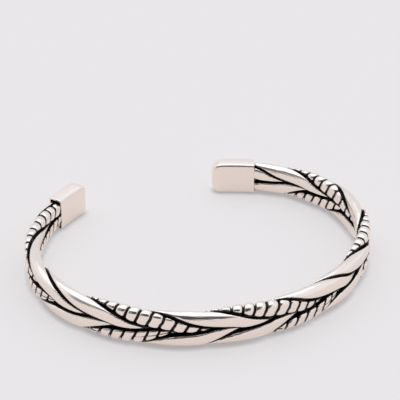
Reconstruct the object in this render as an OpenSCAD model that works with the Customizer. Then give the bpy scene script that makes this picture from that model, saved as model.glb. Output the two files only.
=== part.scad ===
// Open cuff bangle: a flat plait of five wires, three plain and two beaded, between two box end caps.
// It lies on its side with the opening at the back (+Y); sizes are in millimetres.

/* [Band] */
// Outside width of the oval, side to side
outer_w = 63; // [54:0.5:80]
// Outside depth of the oval, front to back
outer_d = 55.8; // [46:0.5:72]
// Height of the plait at the front, where it is tallest
plait_h = 7; // [5:0.1:8]
// Length of the plait at each end that goes over to the caps' height
taper_len = 28; // [10:1:40]
// Thickness of the plait, from the wrist side to the outer side
plait_t = 2.8; // [2.3:0.1:4]
// Length of the oval left open at the back, along its middle line
open_len = 26.8; // [20:0.2:36]
// How far the left end of the plait is bent outwards from the oval
left_bend = 0.5; // [-1.5:0.1:1.5]
// How far the right end of the plait is bent outwards from the oval; less than 0 is inwards
right_bend = -1.2; // [-1.5:0.1:1.5]
// Length of the plait that takes the bend at each end
bend_len = 24; // [16:1:32]

/* [Wires] */
// Width of one wire, as it shows on the flat of the band
wire_w = 2.7; // [1.8:0.1:3]
// Width of a wire where it turns over the upper or lower edge of the band
edge_w = 3.5; // [2.5:0.1:4]
// Thickness of a wire where it passes through the middle of the plait
wire_mid_t = 1.8; // [1.2:0.1:2.4]
// Gap between neighbouring wires
wire_gap = 0.3; // [0.14:0.02:0.36]
// How far a wire's centre swings in and out of the band's middle line
weave_depth = 0.75; // [0.5:0.05:1]
// Share of its neighbour's room that a wire keeps where it crosses
crossing_squeeze = 0.65; // [0.4:0.05:1]

/* [Plait] */
// Distance along the band from one crossing to the next
crossing_pitch = 5.3; // [4.5:0.1:8]
// Place of the first crossing, along the band from the middle of the front
first_crossing = -30.8; // [-40:0.1:-20]
// Crossings by which the plait is let out towards the left cap
left_slack = 1.4; // [0:0.1:2]
// Crossings by which the plait is let out on the way to the right cap
right_slack = 0.4; // [0:0.1:1]

/* [Beads] */
// Length of one bead with its groove
bead_pitch = 1.95; // [1.6:0.05:3]
// Depth of the groove between two beads
groove_depth = 0.25; // [0.1:0.05:0.35]
// How far the beads stand above the plain wires on the upper edge of the band
bead_proud = 0.4; // [0:0.1:0.6]

/* [End caps] */
// Length of an end cap
cap_l = 8.1; // [6:0.1:12]
// Height of an end cap
cap_h = 6.2; // [5:0.1:8]
// Thickness of an end cap
cap_t = 2.8; // [2.3:0.1:4]
// Wall of the cap around its mouth
cap_wall = 0.3; // [0.2:0.05:0.5]
// Depth of the mouth that takes the wires
mouth_depth = 1.6; // [1:0.1:3]
// Gap between the wires' ends and the floor of the mouth
mouth_floor_gap = 0.6; // [0.1:0.1:0.8]
// Clearance between the wires and the mouth
mouth_fit = 0.08; // [0.04:0.02:0.2]
// Length of the shoulder where the wires step down to fit the mouth
shoulder_len = 0.4; // [0.2:0.1:2.5]
// Rounding of the cap's free end, seen from above
cap_plan_r = 1.1; // [0.3:0.1:1.1]
// Rounding of the cap's free end, seen from the side
cap_side_r = 1.9; // [0.3:0.1:2.4]
// Rounding of the cap's long edges
cap_edge_r = 0.5; // [0.1:0.05:0.6]

/* [Hidden] */

// Middle line of the band: an oval, measured by length from the middle of the front
oval_a = (outer_w - plait_t) / 2;
oval_b = (outer_d - plait_t) / 2;
arc_table = [
  for (t = 0, s = 0; t <= 180; s = s + oval_speed(t + 0.5) * PI / 180, t = t + 1) [s, t]
];
half_oval = arc_table[len(arc_table) - 1][0];
join_s = half_oval - open_len / 2 - cap_l;

function oval_speed(t) = norm([oval_a * cos(t), oval_b * sin(t)]);
function oval_angle(s) = sign(s) * lookup(abs(s), arc_table);
function oval_point(s) = let (t = oval_angle(s)) [oval_a * sin(t), -oval_b * cos(t)];
function oval_out(s) = let (t = oval_angle(s)) unit([oval_b * sin(t), -oval_a * cos(t)]);
function unit(v) = v / norm(v);

// The two ends leave the oval in a gentle bend
function bend(s) = s < 0 ? left_bend : right_bend;
function bend_share(s) = max(0, abs(s) - join_s + bend_len) / bend_len;
function band_point(s) = oval_point(s) + oval_out(s) * bend(s) * bend_share(s) ^ 2;
function band_out(s) =
  let (out = oval_out(s), slope = sign(s) * 2 * bend(s) / bend_len * bend_share(s))
  unit(out - [-out.y, out.x] * slope);

// The caps are straight: each runs from the end of the plait towards the band's next point
function cap_start(side) = band_point(side * join_s);
function cap_run(side) = unit(band_point(side * (join_s + cap_l)) - cap_start(side));
function cap_out(side) = side * [cap_run(side).y, -cap_run(side).x];

// The origin is under the middle of the box around the bangle
function back_y(side) = cap_start(side).y + cap_run(side).y * (cap_l - cap_plan_r)
  + cap_out(side).y * (cap_t / 2 - cap_plan_r) + cap_plan_r;
oval_y = (outer_d / 2 - max(back_y(-1), back_y(1))) / 2;

// A station is a point of the middle line and its outward direction; from the joins on it is straight
function station(s) = abs(s) < join_s
  ? [band_point(s), band_out(s)]
  : [cap_start(sign(s)) + cap_run(sign(s)) * (abs(s) - join_s), cap_out(sign(s))];

// The plait: five wires follow the same flat figure of eight, each two crossings behind the last.
// Towards both caps it is let out, so that the crossings lie further apart.
is_beaded = [false, false, true, false, true];
wire_count = len(is_beaded);
crossing_turn = 180 / wire_count;
slack_from = 1.5;
slack_rate = left_slack / ((-join_s - first_crossing) / crossing_pitch - slack_from) ^ 2;
right_slack_from = 24;
right_slack_to = 46;

function crossings_before(s) = let (k = (s - first_crossing) / crossing_pitch)
  k + (k < slack_from ? slack_rate * (slack_from - k) ^ 2 : 0)
  - right_slack * ease((s - right_slack_from) / (right_slack_to - right_slack_from));
function wire_turn(s, wire) = 90 + crossing_turn * (crossings_before(s) - 2 * wire);

// Towards the caps the plait goes over to their height, with its underside level all the way
function ease(x) = let (share = min(1, max(0, x))) share * share * (3 - 2 * share);
function taper_share(s) = ease((abs(s) - join_s + taper_len) / taper_len);
function band_h(s) = plait_h + (cap_h - plait_h) * taper_share(s);

// The plait steps down at its shoulders so that it fits the mouth of the cap
shoulder_s = join_s - shoulder_len;
step_h = 2 * (cap_wall + mouth_fit);
step_t = max(0, plait_t - (cap_t - 2 * cap_wall - 2 * mouth_fit));

function step_share(s) = min(1, max(0, (abs(s) - shoulder_s) / shoulder_len));
function half_h(s) = (band_h(s) - step_share(s) * step_h) / 2;
function half_t(s) = (plait_t - step_share(s) * step_t) / 2;

// Centre of a wire at a station, as [outward, up] from the middle line
function wire_centre(s, wire) = let (turn = wire_turn(s, wire))
  [weave_depth * sin(2 * turn) * half_t(s) * 2 / plait_t, (half_h(s) - wire_w / 2) * cos(turn)];
function wire_share(s, wire) = crossing_squeeze + (1 - crossing_squeeze) * cos(wire_turn(s, wire)) ^ 2;

// A wire fills the room between its neighbours and the rolled faces of the band, whose upper face
// is a little higher for the beaded wires.
// Each limit is a flat side [direction, distance], and the sides blend into a rounded outline:
// the higher the blend, the squarer the outline. The band's own four corners are cut as well.
blend = 8;
corner_cut = 0.8;
least_reach = 0.05;

function top_h(s, wire) = half_h(s) + (is_beaded[wire] ? bead_proud * (1 - taper_share(s)) : 0);
function face_sides(s, wire, c) = let (faces = [half_h(s), top_h(s, wire)]) [
  for (x = [1, -1]) [[x, 0], half_t(s) - x * c.x],
  for (y = [0, 1]) [[0, 2 * y - 1], faces[y] - (2 * y - 1) * c.y],
  for (x = [1, -1], y = [0, 1]) let (n = [x, 2 * y - 1] / sqrt(2))
    [n, (faces[y] + half_t(s) - corner_cut) / sqrt(2) - n * c]
];
function neighbour_sides(s, wire, c) = [
  for (other = [0:wire_count - 1]) if (other != wire)
    let (
      across = wire_centre(s, other) - c,
      share = wire_share(s, wire) / (wire_share(s, wire) + wire_share(s, other))
    )
    [unit(across), norm(across) * share - wire_gap / 2]
];
function side_pull(side, u) = (max(0, side[0] * u) / max(side[1], least_reach)) ^ blend;
function total(list) = list * [for (x = list) 1];

// Reach of a wire's outline from its centre in the direction at an angle from outward
function wire_reach(s, wire, sides, angle) =
  let (
    u = [cos(angle), sin(angle)],
    edge = cos(wire_turn(s, wire)) ^ 2,
    own_t = (wire_mid_t + (plait_t - wire_mid_t) * edge) / 2,
    own_h = (wire_w + (edge_w - wire_w) * edge) / 2
  )
  (total([for (side = sides) side_pull(side, u)])
    + (abs(u.x) / own_t) ^ blend + (abs(u.y) / own_h) ^ blend) ^ (-1 / blend);

wire_sides = 8;

// One ring of points round a wire, cut back by the depth of a groove
function wire_ring(s, wire, cut) =
  let (
    here = station(s),
    c = wire_centre(s, wire),
    sides = concat(face_sides(s, wire, c), neighbour_sides(s, wire, c))
  )
  [for (i = [0:wire_sides - 1])
    let (
      angle = i * 360 / wire_sides,
      reach = wire_reach(s, wire, sides, angle) - cut,
      flat = here[0] + here[1] * (c.x + reach * cos(angle))
    )
    [flat.x, flat.y + oval_y, band_h(s) / 2 + c.y + reach * sin(angle)]];

// Stations along a wire are pairs [place, groove depth]. A bead has three, at shares of its length,
// and the beads stop a little short of the shoulders.
plain_step = crossing_pitch * 0.35;
bead_places = [[0, groove_depth], [0.28, 0], [0.72, 0]];
end_margin = 0.2;

function plain_stations() = let (n = ceil(2 * shoulder_s / plain_step))
  [for (i = [0:n]) [-shoulder_s + 2 * shoulder_s * i / n, 0]];
function beaded_stations() = let (n = ceil(shoulder_s / bead_pitch)) concat(
  [[-shoulder_s, 0]],
  [for (i = [-n:n], place = bead_places) let (s = (i + place[0]) * bead_pitch)
    if (abs(s) < shoulder_s - end_margin) [s, place[1]]],
  [[shoulder_s, 0]]
);

// Past its shoulder a wire has two more stations: at the cap's mouth, and at its cut end inside
wire_end = join_s + mouth_depth - mouth_floor_gap;
function with_ends(stations) = concat(
  [[-wire_end, 0], [-join_s, 0]], stations, [[join_s, 0], [wire_end, 0]]
);

// A four-sided patch is split along its inner diagonal, so that no facet bulges towards a neighbour
function patch_faces(points, a, b, c, d) =
  cross(points[b] - points[a], points[d] - points[a]) * (points[c] - points[a]) > 0
    ? [[a, b, c], [a, c, d]]
    : [[a, b, d], [b, c, d]];

module wire(number, stations) {
  rings = [for (place = with_ends(stations)) wire_ring(place[0], number, place[1])];
  points = [for (ring = rings) each ring];
  last = len(rings) - 1;
  polyhedron(
    points = points,
    faces = [
      [for (i = [0:wire_sides - 1]) wire_sides - 1 - i],
      [for (i = [0:wire_sides - 1]) last * wire_sides + i],
      for (ring = [0:last - 1], i = [0:wire_sides - 1])
        let (a = ring * wire_sides + i, b = ring * wire_sides + (i + 1) % wire_sides)
        each patch_faces(points, a, b, b + wire_sides, a + wire_sides)
    ],
    convexity = 10
  );
}

// A cap's outline from its mouth along +X, with the corners of its free end rounded
module end_outline(width, radius) {
  translate([0, -width / 2]) square([cap_l - radius, width]);
  translate([0, radius - width / 2]) square([cap_l, width - 2 * radius]);
  for (y = [-1, 1]) translate([cap_l - radius, y * (width / 2 - radius)]) circle(r = radius, $fn = 48);
}

// A cap's outline seen along its length, with all four edges rounded
module edge_outline() {
  square([cap_t - 2 * cap_edge_r, cap_h], center = true);
  square([cap_t, cap_h - 2 * cap_edge_r], center = true);
  for (x = [-1, 1], y = [-1, 1])
    translate([x * (cap_t / 2 - cap_edge_r), y * (cap_h / 2 - cap_edge_r)]) circle(r = cap_edge_r, $fn = 32);
}

module mouth() {
  clear = 1;
  translate([-clear, cap_wall - cap_t / 2, cap_wall - cap_h / 2])
    cube([mouth_depth + clear, cap_t - 2 * cap_wall, cap_h - 2 * cap_wall]);
}

module end_cap(side) {
  run = cap_run(side);
  translate([cap_start(side).x, cap_start(side).y + oval_y, cap_h / 2])
    rotate([0, 0, atan2(run.y, run.x)])
      difference() {
        intersection() {
          linear_extrude(cap_h, center = true) end_outline(cap_t, cap_plan_r);
          rotate([90, 0, 0]) linear_extrude(cap_t, center = true) end_outline(cap_h, cap_side_r);
          rotate([90, 0, 90]) linear_extrude(cap_l) edge_outline();
        }
        mouth();
      }
}

// A wire's number is its place in the plait: each is two crossings behind the one before
module plain_wire(number) { color("gainsboro") wire(number, plain_stations()); }
module beaded_wire(number) { color("silver") wire(number, beaded_stations()); }
module left_end_cap() { color("lightgray") end_cap(-1); }
module right_end_cap() { color("lightgray") end_cap(1); }

plain_wire(0);  // plain_wire_a
plain_wire(1);  // plain_wire_b
plain_wire(3);  // plain_wire_c
beaded_wire(2);  // beaded_wire_a
beaded_wire(4);  // beaded_wire_b
left_end_cap();
right_end_cap();
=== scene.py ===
import math

import bmesh
import bpy
import numpy as np
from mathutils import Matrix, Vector


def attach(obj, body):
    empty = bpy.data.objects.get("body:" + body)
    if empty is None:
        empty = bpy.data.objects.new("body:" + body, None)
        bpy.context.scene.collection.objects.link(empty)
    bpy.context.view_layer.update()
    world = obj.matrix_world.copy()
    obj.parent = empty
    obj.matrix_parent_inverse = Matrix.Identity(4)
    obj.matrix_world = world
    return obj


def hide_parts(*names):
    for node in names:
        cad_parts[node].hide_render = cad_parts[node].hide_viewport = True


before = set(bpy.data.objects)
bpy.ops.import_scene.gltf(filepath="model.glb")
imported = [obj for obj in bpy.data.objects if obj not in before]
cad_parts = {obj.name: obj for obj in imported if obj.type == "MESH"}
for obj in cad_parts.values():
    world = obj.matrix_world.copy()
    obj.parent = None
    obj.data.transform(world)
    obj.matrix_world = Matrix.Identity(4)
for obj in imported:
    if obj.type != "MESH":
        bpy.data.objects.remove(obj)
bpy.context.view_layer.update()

# Sizes are in millimetres and become metres when a mesh is made. The cuff lies on its side:
# the front of the oval is at -Y and the opening between the caps is at +Y.
mm = 0.001


# the oval that the band follows, measured by length from the middle of the front
band = {
    "outerWidth": 63.0,
    "outerDepth": 55.8,
    "height": 7.0,    # at the front, where the plait is tallest
    "endHeight": 6.2,
    "taperLength": 28.0,    # length at each end that goes over to the caps' height
    "thickness": 2.8,
    "openLength": 26.8,
    "capLength": 8.1,
    "leftBend": 0.5,    # how far each end of the plait leaves the oval, outwards
    "rightBend": -1.2,
    "bendLength": 24.0,
    "tableSteps": 1440,
}
halfAcross = (band["outerWidth"] - band["thickness"]) / 2
halfDeep = (band["outerDepth"] - band["thickness"]) / 2


def ovalTable():
    angles = np.linspace(0, math.pi, band["tableSteps"] + 1)
    middles = (angles[1:] + angles[:-1]) / 2
    steps = np.hypot(halfAcross * np.cos(middles), halfDeep * np.sin(middles)) * np.diff(angles)
    return np.concatenate([[0], np.cumsum(steps)]), angles


ovalLengths, ovalAngles = ovalTable()
joinAt = ovalLengths[-1] - band["openLength"] / 2 - band["capLength"]    # where a cap begins


def ovalAngle(s):
    return np.sign(s) * np.interp(np.abs(s), ovalLengths, ovalAngles)


def ovalPoint(s):
    angle = ovalAngle(s)
    return halfAcross * np.sin(angle), -halfDeep * np.cos(angle)


def ovalOutward(s):
    angle = ovalAngle(s)
    x, y = halfDeep * np.sin(angle), -halfAcross * np.cos(angle)
    size = np.hypot(x, y)
    return x / size, y / size


# the middle line of the band and its outward direction, with both ends bent off the oval
def bandPoint(s):
    x, y = ovalPoint(s)
    outX, outY = ovalOutward(s)
    share = np.maximum(np.abs(s) - joinAt + band["bendLength"], 0) / band["bendLength"]
    bend = np.where(s < 0, band["leftBend"], band["rightBend"])
    away = bend * share ** 2
    slope = np.sign(s) * 2 * bend / band["bendLength"] * share
    newX, newY = outX + outY * slope, outY - outX * slope
    size = np.hypot(newX, newY)
    return x + outX * away, y + outY * away, newX / size, newY / size


# each cap's chord, from the end of the plait towards the next point of the band
def capLine(side):
    start = np.array(bandPoint(side * joinAt)[:2])
    run = np.array(bandPoint(side * (joinAt + band["capLength"]))[:2]) - start
    run = run / np.linalg.norm(run)
    outward = side * np.array([run[1], -run[0]])
    return start, run, outward


def bandFrame(s):
    # past the joins the band is straight, as the caps are
    x, y, outX, outY = bandPoint(s)
    for side in (-1, 1):
        start, run, outward = capLine(side)
        past = side * s - joinAt
        inside = past > 0
        x = np.where(inside, start[0] + run[0] * past, x)
        y = np.where(inside, start[1] + run[1] * past, y)
        outX = np.where(inside, outward[0], outX)
        outY = np.where(inside, outward[1], outY)
    return x, y, outX, outY


# the number of each wire in the plait
plainWires = {"plain_wire_a": 0, "plain_wire_b": 1, "plain_wire_c": 3}
beadedWires = {"beaded_wire_a": 2, "beaded_wire_b": 4}
wireCount = len(plainWires) + len(beadedWires)

# the plait: five wires on the same flat figure of eight, each two crossings behind the last
plait = {
    "wireWidth": 2.7,
    "edgeWidth": 3.5,    # where the wire turns over the edge of the band
    "middleThickness": 1.8,
    "gap": 0.2,
    "beadedGap": 0.26,    # beside a beaded wire
    "weaveDepth": 0.75,
    "crossingSqueeze": 0.65,    # share of its room that a wire keeps where it crosses another
    "crossingPitch": 5.3,
    "firstCrossing": -30.8,    # its place along the band
    "leftSlack": 1.4,    # crossings by which the plait is let out on the way to the left cap
    "leftSlackFrom": 1.5,    # the crossing where that begins
    "rightSlack": 0.4,
    "rightSlackPlaces": (24, 46),    # along the band, where it begins and is complete
    "beadProud": 0.85,    # by which the rolled face is higher for the beads on the upper edge
    "shoulderLength": 0.35,    # over which the plait steps down into the mouth of a cap
    "stepDown": 0.76,
    "leftSink": 0.2,
    "sinkLength": 5.0,
    "middleBlend": 5,    # squareness of a wire's section where it is rolled flat
    "edgeBlend": 3.5,    # and where it turns over the edge, which leaves it rounder
    "cornerCut": 0.8,
    "insertLength": 1.0,    # of the wires in the mouth of a cap
    "leastRoom": 0.05,    # from the centre of a wire to any of its sides
}


def smoothStep(low, high, value):
    x = np.clip((value - low) / (high - low), 0, 1)
    return x * x * (3 - 2 * x)


def crossingsBefore(s):
    count = (s - plait["firstCrossing"]) / plait["crossingPitch"]
    atJoin = (-joinAt - plait["firstCrossing"]) / plait["crossingPitch"]
    rate = plait["leftSlack"] / (atJoin - plait["leftSlackFrom"]) ** 2
    late = np.maximum(plait["leftSlackFrom"] - count, 0)
    right = plait["rightSlack"] * smoothStep(*plait["rightSlackPlaces"], s)
    return count + rate * late ** 2 - right


def wireTurn(s, wire):
    return math.pi / 2 + math.pi / wireCount * (crossingsBefore(s) - 2 * wire)


def taperShare(s):
    return smoothStep(joinAt - band["taperLength"], joinAt, np.abs(s))


def bandHeight(s):
    return band["height"] + (band["endHeight"] - band["height"]) * taperShare(s)


def halfSizes(s):
    # the plait steps down at its shoulders so that it fits the mouth of a cap
    share = (np.abs(s) - joinAt + plait["shoulderLength"]) / plait["shoulderLength"]
    share = np.clip(share, 0, 1)
    stepDown = share * share * plait["stepDown"]
    return (bandHeight(s) - stepDown) / 2, (band["thickness"] - stepDown) / 2


def topSink(s):
    # at the left cap the top of the plait lies lower than the cap
    return plait["leftSink"] * smoothStep(joinAt - plait["sinkLength"], joinAt, -s)


def wireCentre(s, wire):
    turn = wireTurn(s, wire)
    halfH, halfT = halfSizes(s)
    outward = plait["weaveDepth"] * np.sin(2 * turn) * halfT * 2 / band["thickness"]
    return outward, (halfH - plait["wireWidth"] / 2) * np.cos(turn)


def wireShare(s, wire):
    squeeze = plait["crossingSqueeze"]
    return squeeze + (1 - squeeze) * np.cos(wireTurn(s, wire)) ** 2


def isBeaded(wire):
    return wire in beadedWires.values()


def otherWires(wire):
    return [other for other in range(wireCount) if other != wire]


def faceSides(s, wire):
    # the rolled faces of the whole band and its four cut corners, as (outward, up, distance)
    halfH, halfT = halfSizes(s)
    proud = plait["beadProud"] * (1 - taperShare(s)) if isBeaded(wire) else 0
    slant = 1 / math.sqrt(2)
    sides = [(1, 0, halfT), (-1, 0, halfT)]
    for up, reach in ((1, halfH + proud), (-1, halfH)):
        corner = (reach + halfT - plait["cornerCut"]) * slant
        sides += [(0, up, reach), (slant, up * slant, corner), (-slant, up * slant, corner)]
    return sides


def neighbourSides(s, wire):
    # the line halfway to each neighbour, as (outward, up, distance) from the wire's own centre
    ownX, ownY = wireCentre(s, wire)
    ownShare = wireShare(s, wire)
    sides = []
    for other in otherWires(wire):
        x, y = wireCentre(s, other)
        apart = np.hypot(x - ownX, y - ownY)
        share = ownShare / (ownShare + wireShare(s, other))
        gap = plait["beadedGap"] if isBeaded(wire) or isBeaded(other) else plait["gap"]
        sides.append(((x - ownX) / apart, (y - ownY) / apart, apart * share - gap / 2))
    return sides


def wireReach(s, wire, angle):
    # distance from the wire's centre to its surface, in the direction at an angle from outward
    alongX, alongY = np.cos(angle), np.sin(angle)
    ownX, ownY = wireCentre(s, wire)
    edge = np.cos(wireTurn(s, wire)) ** 2
    ownHalf = (plait["middleThickness"] + (band["thickness"] - plait["middleThickness"]) * edge) / 2
    blend = plait["middleBlend"] + (plait["edgeBlend"] - plait["middleBlend"]) * edge
    width = plait["wireWidth"] + (plait["edgeWidth"] - plait["wireWidth"]) * edge
    pull = (np.abs(alongX) / ownHalf) ** blend + (np.abs(alongY) * 2 / width) ** blend
    for x, y, distance in faceSides(s, wire):
        room = np.maximum(distance - x * ownX - y * ownY, plait["leastRoom"])
        pull = pull + (np.maximum(x * alongX + y * alongY, 0) / room) ** blend
    for x, y, distance in neighbourSides(s, wire):
        room = np.maximum(distance, plait["leastRoom"])
        pull = pull + (np.maximum(x * alongX + y * alongY, 0) / room) ** blend
    return pull ** (-1 / blend)


def wireSurface(s, wire, angle, reach):
    centreX, centreY = wireCentre(s, wire)
    return centreX + reach * np.cos(angle), centreY + reach * np.sin(angle)


# blackening: what the polishing wheel couldn't reach between the wires and inside the caps
oxide = {
    "feelers": (0.1, 0.2, 0.35, 0.55, 0.8),    # how far off the surface the room is tested
    "open": 0.06,    # how far shut in a place may be before it darkens
    "closed": 0.22,    # and how far when it is black
    "shallow": 0.45,    # depth below the rolled faces that the wheel still reached
    "deep": 0.8,
    "mouthReach": 0.12,    # length before the mouth of a cap over which the wires darken
    "leastEdge": 1e-9,    # between two points of a section
}


def roomAt(s, wire, outward, up):
    # distance to the nearest other wire, measured along the line to its centre
    room = np.full(outward.shape, np.inf)
    for other in otherWires(wire):
        centreX, centreY = wireCentre(s, other)
        x, y = outward - centreX, up - centreY
        room = np.minimum(room, np.hypot(x, y) - wireReach(s, other, np.arctan2(y, x)))
    return room


def oxideAt(s, wire, outward, up):
    # rows run along the wire and columns round it
    alongX = np.roll(outward, -1, 1) - np.roll(outward, 1, 1)
    alongY = np.roll(up, -1, 1) - np.roll(up, 1, 1)
    size = np.maximum(np.hypot(alongX, alongY), oxide["leastEdge"])
    normalX, normalY = alongY / size, -alongX / size
    shut = np.zeros(outward.shape)
    for feeler in oxide["feelers"]:
        room = roomAt(s, wire, outward + normalX * feeler, up + normalY * feeler)
        shut = np.maximum(shut, (feeler - room) / (2 * feeler))
    depth = np.full(outward.shape, np.inf)
    for x, y, distance in faceSides(s, None):
        depth = np.minimum(depth, distance - x * outward - y * up)
    inMouth = smoothStep(joinAt - oxide["mouthReach"], joinAt, np.abs(s))
    dark = np.maximum(smoothStep(oxide["open"], oxide["closed"], shut), inMouth)
    return np.maximum(dark, smoothStep(oxide["shallow"], oxide["deep"], depth))


# the end caps: boxes with rounded edges, bowed outwards a little as the band is
caps = {
    "height": 6.2,
    "thickness": 2.8,
    "wall": 0.3,
    "mouthDepth": 1.6,
    "planRadius": 1.3,
    "solidRadius": 1.1,    # of the plain solid that this cap stands for
    "sideRadius": 1.9,
    "edgeRadius": 0.5,
    "bow": 0.22,
    "lip": 0.07,    # radius of the edge round the mouth
}
midZ = caps["height"] / 2


def backReach(side):
    # how far back a cap reaches, before the whole is moved over the origin
    start, run, outward = capLine(side)
    radius = caps["solidRadius"]
    corner = start + run * (band["capLength"] - radius) + outward * (caps["thickness"] / 2 - radius)
    return corner[1] + radius


ovalShift = (band["outerDepth"] / 2 - max(backReach(-1), backReach(1))) / 2


def toSpace(s, outward, up):
    x, y, outX, outY = bandFrame(s)
    height = bandHeight(s)
    z = (height / 2 + up) * (1 - topSink(s) / height)
    return np.stack([x + outX * outward, y + outY * outward + ovalShift, z], -1) * mm


def meshObject(name, vertices, faces, slot, node, oxideValues):
    mesh = bpy.data.meshes.new(name)
    mesh.from_pydata(vertices.tolist(), [], faces)
    layer = mesh.attributes.new("oxide", "FLOAT", "POINT")
    layer.data.foreach_set("value", oxideValues.astype(np.float32))
    mesh.update()
    piece = bpy.data.objects.new(name, mesh)
    bpy.context.scene.collection.objects.link(piece)
    piece.data.materials.append(finishes[slot])
    if node:
        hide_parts(node)
    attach(piece, "root")
    return piece


def ringFaces(rings, around):
    # the faces between each ring of points and the next
    faces = []
    for ring in range(rings - 1):
        for i in range(around):
            a, b = ring * around + i, ring * around + (i + 1) % around
            faces.append((a, b, b + around, a + around))
    return faces


ends = {
    "weld": 1e-4,
    "flatCorners": 6,    # a face with as many corners is a flat end
}


def closeEnds(piece):
    # welds the gathered points at the cut ends, fills the ends, and smooths all faces but them
    weld = ends["weld"] * mm
    shape = bmesh.new()
    shape.from_mesh(piece.data)
    bmesh.ops.remove_doubles(shape, verts=shape.verts, dist=weld)
    bmesh.ops.dissolve_degenerate(shape, edges=shape.edges, dist=weld)
    rims = [edge for edge in shape.edges if edge.is_boundary]
    bmesh.ops.holes_fill(shape, edges=rims, sides=0)
    bmesh.ops.recalc_face_normals(shape, faces=shape.faces)
    for face in shape.faces:
        face.smooth = len(face.verts) < ends["flatCorners"]
    shape.to_mesh(piece.data)
    shape.free()


# plain wires: rings square to the band
plainWire = {
    "around": 72,
    "ringStep": 0.25,
    "streaksAlong": 0.12,    # polishing streaks to the millimetre along the wire
    "streaksAcross": 3.5,    # and to the radius across it
}


def makePlainWire(node, wire):
    reachEnd = joinAt + plait["insertLength"]
    count = int(2 * reachEnd / plainWire["ringStep"])
    s = np.linspace(-reachEnd, reachEnd, count + 1)[:, None]
    angle = np.linspace(0, 2 * math.pi, plainWire["around"], endpoint=False)[None, :]
    s, angle = np.broadcast_arrays(s, angle)
    outward, up = wireSurface(s, wire, angle, wireReach(s, wire, angle))
    faces = ringFaces(count + 1, plainWire["around"])
    points = toSpace(s, outward, up).reshape(-1, 3)
    dark = oxideAt(s, wire, outward, up).reshape(-1)
    piece = meshObject(node + "_polished", points, faces, "plain_silver", node, dark)
    along, across = plainWire["streaksAlong"], plainWire["streaksAcross"]
    grain = np.stack([s * along, np.cos(angle) * across, np.sin(angle) * across], -1)
    layer = piece.data.attributes.new("grain", "FLOAT_VECTOR", "POINT")
    layer.data.foreach_set("vector", grain.astype(np.float32).reshape(-1))
    closeEnds(piece)


# beaded wires: rows follow the groove that winds round the wire, closer together near the groove
beadedWire = {
    "around": 60,
    "rowsPerBead": 14,
    "crowding": 0.75,
    "beadPitch": 1.95,
    "spareBeads": 3,    # past each end of the wire, for the leads in the charts below
    "grooveWidth": 0.17,
    "grooveDepth": 0.4,
    "grooveDark": (0.1, 0.4),    # shares of the groove's depth where it darkens and is black
    "pillow": 0.16,    # share of its reach that a bead loses towards the groove
    "pillowPower": 2.2,
}

# how far each wire's beads run ahead of even spacing, in beads, by the number of the bead
beadCharts = {
    "beaded_wire_a": {
        "bead": (-36, -16, -6, 3, 7, 14, 17, 23, 28, 36),
        "lead": (-0.5, 0.1, 0.65, 0.4, 0.5, 0.5, 0.8, 1.08, 1.37, 1.7),
    },
    "beaded_wire_b": {
        "bead": (-36, -31, -29, -27, -15, -10, 0, 2, 5, 22, 24, 26, 36),
        "lead": (-1.0, -1.0, -0.5, -0.1, -0.1, 0.2, 0.3, 0.5, 0.5, 0.85, 1.23, 1.45, 1.7),
    },
}


def makeBeadedWire(node, wire):
    reachEnd = joinAt + plait["insertLength"]
    rows, around = beadedWire["rowsPerBead"], beadedWire["around"]
    beads = math.ceil(reachEnd / beadedWire["beadPitch"]) + beadedWire["spareBeads"]
    share = np.arange(rows) / rows
    share = share - beadedWire["crowding"] * np.sin(2 * math.pi * share) / (2 * math.pi)
    place = (np.arange(-beads, beads)[:, None] + share[None, :]).reshape(-1, 1)
    angle = np.linspace(0, 2 * math.pi, around, endpoint=False)[None, :]
    count = place + angle / (2 * math.pi)
    lead = np.interp(count, beadCharts[node]["bead"], beadCharts[node]["lead"])
    s = np.clip((count + lead) * beadedWire["beadPitch"], -reachEnd, reachEnd)
    place, angle = np.broadcast_arrays(place, angle)
    fromGroove = np.abs(place - np.round(place))
    groove = np.exp(-(fromGroove * beadedWire["beadPitch"] / beadedWire["grooveWidth"]) ** 2)
    reach = wireReach(s, wire, angle)
    reach = reach * (1 - beadedWire["pillow"] * (1 - 2 * fromGroove) ** beadedWire["pillowPower"])
    reach = reach - beadedWire["grooveDepth"] * groove
    outward, up = wireSurface(s, wire, angle, reach)
    faces = []
    last = place.shape[0] - 1
    for row in range(last):
        for i in range(around - 1):
            a = row * around + i
            faces.append((a, a + 1, a + 1 + around, a + around))
        if row + rows < last:
            # the last column joins the first one a bead further on
            a, b = row * around + around - 1, (row + rows) * around
            faces.append((a, b, b + around, a + around))
    points = toSpace(s, outward, up).reshape(-1, 3)
    grooveDark = smoothStep(*beadedWire["grooveDark"], groove)
    dark = np.maximum(oxideAt(s, wire, outward, up), grooveDark).reshape(-1)
    piece = meshObject(node + "_polished", points, faces, "beaded_silver", node, dark)
    closeEnds(piece)


# a thin black sheet that fills the inside of the plait: painted shade, with the oxide there, for
# the depth between the wires
shadeCore = {
    "halfHeight": 2.2,
    "halfThickness": 0.12,
    "step": 0.5,
    "setBack": 0.1,    # from the cut ends of the wires
}


def makeShadeCore():
    reachEnd = joinAt + plait["insertLength"] - shadeCore["setBack"]
    count = int(2 * reachEnd / shadeCore["step"])
    s = np.linspace(-reachEnd, reachEnd, count + 1)[:, None]
    outward = np.array([1, -1, -1, 1])[None, :] * shadeCore["halfThickness"]
    up = np.array([1, 1, -1, -1])[None, :] * shadeCore["halfHeight"]
    s, outward, up = np.broadcast_arrays(s, outward, up)
    faces = ringFaces(*s.shape)
    points = toSpace(s, outward, up).reshape(-1, 3)
    # every point black: the painted shade and oxide of the depth between the wires
    piece = meshObject("shade_and_oxide_core", points, faces, "plain_silver", None, np.ones(len(points)))
    closeEnds(piece)


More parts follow.
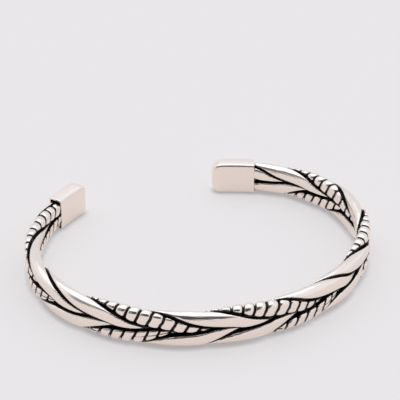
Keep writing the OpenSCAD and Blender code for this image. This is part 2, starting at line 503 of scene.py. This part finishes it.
capMesh = {
    "aroundCorner": 7,
    "alongStep": 0.3,
    "endSteps": 12,
    "outerLipTurns": (30, 60, 90),    # degrees round the outer edge of the mouth
    "innerLipTurns": (0, 45, 90),
    "mouthShares": (0.5, 1),    # of the depth of the mouth
    "blackSections": 3,    # the innermost ones
}


def roundedBox(halfT, halfH, radius):
    # outline of a box with round corners, as (outward, up), always with the same number of points
    radius = min(radius, halfT, halfH)
    points = []
    for quarter, (sideX, sideY) in enumerate(((1, 1), (-1, 1), (-1, -1), (1, -1))):
        for i in range(capMesh["aroundCorner"] + 1):
            angle = math.pi / 2 * (quarter + i / capMesh["aroundCorner"])
            x = sideX * (halfT - radius) + radius * math.cos(angle)
            y = sideY * (halfH - radius) + radius * math.sin(angle)
            points.append((x, y))
    return points


def roundOff(radius, fromEnd):
    # how far a round end of this radius draws in a side, at a distance from its tip
    within = max(radius - fromEnd, 0)
    return radius - math.sqrt(radius ** 2 - within ** 2)


def capSections():
    # pairs (place along the cap, outline) from the middle of the free end to the floor of the mouth
    length, wall, lip = band["capLength"], caps["wall"], caps["lip"]
    halfT, halfH = caps["thickness"] / 2, caps["height"] / 2
    edge, inner = caps["edgeRadius"], caps["edgeRadius"] - wall
    sections = []
    for i in range(capMesh["endSteps"] + 1):
        fromEnd = caps["sideRadius"] * (1 - math.cos(math.pi / 2 * i / capMesh["endSteps"]))
        cutT, cutH = roundOff(caps["planRadius"], fromEnd), roundOff(caps["sideRadius"], fromEnd)
        sections.append((length - fromEnd, roundedBox(halfT - cutT, halfH - cutH, edge)))
    steps = round((length - caps["sideRadius"]) / capMesh["alongStep"])
    for i in range(1, steps + 1):
        place = (length - caps["sideRadius"] - lip) * (1 - i / steps) + lip
        sections.append((place, roundedBox(halfT, halfH, edge)))
    for turn in capMesh["outerLipTurns"]:
        inward = lip * (1 - math.cos(math.radians(turn)))
        place = lip * (1 - math.sin(math.radians(turn)))
        sections.append((place, roundedBox(halfT - inward, halfH - inward, edge - inward)))
    for turn in capMesh["innerLipTurns"]:
        inward = wall - lip / 2 * (1 - math.sin(math.radians(turn)))
        place = lip / 2 * (1 - math.cos(math.radians(turn)))
        sections.append((place, roundedBox(halfT - inward, halfH - inward, inner)))
    for share in capMesh["mouthShares"]:
        sections.append((caps["mouthDepth"] * share, roundedBox(halfT - wall, halfH - wall, inner)))
    return sections


def makeCap(node, side):
    start, run, outward = capLine(side)
    length = band["capLength"]
    points, dark = [], []
    sections = capSections()
    for number, (place, outline) in enumerate(sections):
        bow = 4 * caps["bow"] * place * (length - place) / length ** 2
        black = number >= len(sections) - capMesh["blackSections"]
        for x, y in outline:
            flat = start + run * place + outward * (x + bow)
            points.append((flat[0], flat[1] + ovalShift, midZ + y))
            dark.append(1.0 if black else 0.0)
    around = 4 * (capMesh["aroundCorner"] + 1)
    faces = ringFaces(len(sections), around)
    last = (len(sections) - 1) * around
    faces.append(tuple(range(around)))
    faces.append(tuple(range(last, last + around)))
    points, dark = np.array(points) * mm, np.array(dark)
    piece = meshObject(node + "_satin", points, faces, "cap_silver", node, dark)
    closeEnds(piece)


# silver: polished where it stands proud, black where the oxide attribute says
silver = {
    "colour": (0.93, 0.823, 0.738, 1),
    "oxideColour": (0.09, 0.078, 0.072, 1),
    "oxideRoughness": 0.5,
    "oxideFrom": 0.35,    # attribute and specks together, where the black begins
    "oxideTo": 0.85,    # and where it is full
    "specks": (1500, 4),    # scale and detail of each noise
    "dents": (450, 2),
    "streaks": (1, 2),
    "speckShare": 0.35,
    "streakShare": 2.0,    # of polishing streaks along the plain wires, beside the dents
    "bumpHeight": 0.1,
}

# the sockets of a mix node that are for colours
colourMix = {"share": 0, "first": 6, "second": 7, "result": 2}


def addNoise(tree, vector, settings):
    noise = tree.nodes.new("ShaderNodeTexNoise")
    noise.inputs["Scale"].default_value, noise.inputs["Detail"].default_value = settings
    tree.links.new(vector, noise.inputs["Vector"])
    return noise.outputs["Fac"]


def addAttribute(tree, name, output):
    attribute = tree.nodes.new("ShaderNodeAttribute")
    attribute.attribute_name = name
    return attribute.outputs[output]


def addShare(tree, value, share, base):
    # base and a share of value on top
    total = tree.nodes.new("ShaderNodeMath")
    total.operation = "MULTIPLY_ADD"
    total.inputs[1].default_value = share
    tree.links.new(value, total.inputs[0])
    tree.links.new(base, total.inputs[2])
    return total.outputs[0]


def silverMaterial(name, roughness, bumpStrength):
    material = bpy.data.materials.new(name)
    material.use_nodes = True
    tree = material.node_tree
    shader = tree.nodes["Principled BSDF"]
    shader.inputs["Metallic"].default_value = 1.0
    place = tree.nodes.new("ShaderNodeTexCoord").outputs["Object"]
    specks = addNoise(tree, place, silver["specks"])
    dark = addShare(tree, specks, silver["speckShare"], addAttribute(tree, "oxide", "Fac"))
    black = tree.nodes.new("ShaderNodeMapRange")
    black.interpolation_type = "SMOOTHSTEP"
    black.inputs["From Min"].default_value = silver["oxideFrom"]
    black.inputs["From Max"].default_value = silver["oxideTo"]
    tree.links.new(dark, black.inputs["Value"])
    tint = tree.nodes.new("ShaderNodeMix")
    tint.data_type = "RGBA"
    tint.inputs[colourMix["first"]].default_value = silver["colour"]
    tint.inputs[colourMix["second"]].default_value = silver["oxideColour"]
    tree.links.new(black.outputs["Result"], tint.inputs[colourMix["share"]])
    tree.links.new(tint.outputs[colourMix["result"]], shader.inputs["Base Color"])
    gloss = tree.nodes.new("ShaderNodeMapRange")
    gloss.inputs["To Min"].default_value = roughness
    gloss.inputs["To Max"].default_value = silver["oxideRoughness"]
    tree.links.new(black.outputs["Result"], gloss.inputs["Value"])
    tree.links.new(gloss.outputs["Result"], shader.inputs["Roughness"])
    dents = addNoise(tree, place, silver["dents"])
    streaks = addNoise(tree, addAttribute(tree, "grain", "Vector"), silver["streaks"])
    bump = tree.nodes.new("ShaderNodeBump")
    bump.inputs["Strength"].default_value = bumpStrength
    bump.inputs["Distance"].default_value = silver["bumpHeight"] * mm
    tree.links.new(addShare(tree, streaks, silver["streakShare"], dents), bump.inputs["Height"])
    tree.links.new(bump.outputs["Normal"], shader.inputs["Normal"])
    return material


finishes = {
    "plain_silver": silverMaterial("polished_wire", roughness=0.16, bumpStrength=0.3),
    "beaded_silver": silverMaterial("polished_beads", roughness=0.16, bumpStrength=0.5),
    "cap_silver": silverMaterial("satin_cap", roughness=0.3, bumpStrength=0.15),
}
print("materials made")

for node, wire in plainWires.items():
    makePlainWire(node, wire)
print("plain wires made")

for node, wire in beadedWires.items():
    makeBeadedWire(node, wire)
print("beaded wires made")

# the black sheet of painted shade and oxide inside the plait
makeShadeCore()
print("solder made")

for node, side in (("left_end_cap", -1), ("right_end_cap", 1)):
    makeCap(node, side)
print("caps made")


# the studio: a pale floor, a pale sky with a light box and darker patches, and the camera
studio = {
    "floorSize": 3000,
    "floorColour": (0.30, 0.283, 0.265, 1),
    "floorRoughness": 0.9,
    "floorGlow": (0.566, 0.548, 0.563, 1),    # light from under the paper, which thins the shadows
    "contactReach": 1.1,    # how near the silver the glow begins to fail
    "contactOpen": 0.4,    # how open a place of the floor is where the glow is at its least
    "contactGlow": 0.6,
    "skyColour": (0.94, 0.99, 1.07, 1),
    "skyLevel": 0.95,
    "boxLevel": 0.75,    # what the light box overhead adds
    "boxPlace": (0.0, 40.0, 100.0),
    "boxAngles": (38, 20),    # outer and inner
    "dimPatches": (    # each by its direction, its outer and inner angle, and its level
        ((-108.64, -258.45, 130.0), (45, 25), 0.08),    # behind the camera
        ((-260.0, -60.0, 130.0), (38, 22), 0.3),    # to the left
        ((108.64, 258.45, 150.0), (50, 20), 0.88),    # across from the camera
    ),
    "cameraPlace": (-105.9, -255.4, 175.9),    # from the middle of the oval
    "cameraTarget": (8.29, 19.42, 0.0),
    "nearest": 10,    # distance that the camera sees
    "lens": 162.9,
    "sensor": 36.0,
}


def makeFloor():
    half = studio["floorSize"] / 2 * mm
    mesh = bpy.data.meshes.new("floor")
    corners = [(-half, -half, 0), (half, -half, 0), (half, half, 0), (-half, half, 0)]
    mesh.from_pydata(corners, [], [(0, 1, 2, 3)])
    floor = bpy.data.objects.new("floor", mesh)
    bpy.context.scene.collection.objects.link(floor)
    material = bpy.data.materials.new("floor_paint")
    material.use_nodes = True
    tree = material.node_tree
    shader = tree.nodes["Principled BSDF"]
    shader.inputs["Base Color"].default_value = studio["floorColour"]
    shader.inputs["Roughness"].default_value = studio["floorRoughness"]
    shader.inputs["Specular IOR Level"].default_value = 0.0
    shader.inputs["Emission Color"].default_value = studio["floorGlow"]
    near = tree.nodes.new("ShaderNodeAmbientOcclusion")
    near.inputs["Distance"].default_value = studio["contactReach"] * mm
    strength = tree.nodes.new("ShaderNodeMapRange")
    strength.inputs["From Min"].default_value = studio["contactOpen"]
    strength.inputs["To Min"].default_value = studio["contactGlow"]
    tree.links.new(near.outputs["AO"], strength.inputs["Value"])
    tree.links.new(strength.outputs["Result"], shader.inputs["Emission Strength"])
    mesh.materials.append(material)


def skyPatch(tree, place, toward, angles, levels):
    # a round patch of the sky, with its outer and inner angle and the levels outside and inside
    turned = tree.nodes.new("ShaderNodeVectorMath")
    turned.operation = "DOT_PRODUCT"
    turned.inputs[1].default_value = Vector(toward).normalized()
    tree.links.new(place.outputs["Generated"], turned.inputs[0])
    patch = tree.nodes.new("ShaderNodeMapRange")
    patch.interpolation_type = "SMOOTHSTEP"
    patch.inputs["From Min"].default_value = math.cos(math.radians(angles[0]))
    patch.inputs["From Max"].default_value = math.cos(math.radians(angles[1]))
    patch.inputs["To Min"].default_value = levels[0]
    patch.inputs["To Max"].default_value = levels[1]
    tree.links.new(turned.outputs["Value"], patch.inputs["Value"])
    return patch


def makeSky():
    world = bpy.data.worlds.new("studio_sky")
    bpy.context.scene.world = world
    world.use_nodes = True
    tree = world.node_tree
    back = tree.nodes["Background"]
    place = tree.nodes.new("ShaderNodeTexCoord")
    box = skyPatch(tree, place, studio["boxPlace"], studio["boxAngles"], (0, studio["boxLevel"]))
    level = tree.nodes.new("ShaderNodeMath")
    level.operation = "ADD"
    level.inputs[1].default_value = studio["skyLevel"]
    tree.links.new(box.outputs["Result"], level.inputs[0])
    for toward, angles, dimLevel in studio["dimPatches"]:
        patch = skyPatch(tree, place, toward, angles, (1, dimLevel))
        dimmed = tree.nodes.new("ShaderNodeMath")
        dimmed.operation = "MULTIPLY"
        tree.links.new(level.outputs[0], dimmed.inputs[0])
        tree.links.new(patch.outputs["Result"], dimmed.inputs[1])
        level = dimmed
    back.inputs["Color"].default_value = studio["skyColour"]
    tree.links.new(level.outputs[0], back.inputs["Strength"])


def makeCamera():
    lensData = bpy.data.cameras.new("camera")
    lensData.lens = studio["lens"]
    lensData.sensor_width = studio["sensor"]
    lensData.clip_start = studio["nearest"] * mm
    camera = bpy.data.objects.new("camera", lensData)
    bpy.context.scene.collection.objects.link(camera)
    camera.location = (Vector(studio["cameraPlace"]) + Vector((0, ovalShift, 0))) * mm
    look = (Vector(studio["cameraTarget"]) + Vector((0, ovalShift, 0))) * mm - camera.location
    camera.rotation_euler = look.to_track_quat("-Z", "Y").to_euler()
    bpy.context.scene.camera = camera


makeFloor()
makeSky()
makeCamera()
bpy.context.scene.view_settings.view_transform = "Standard"
print("studio made")
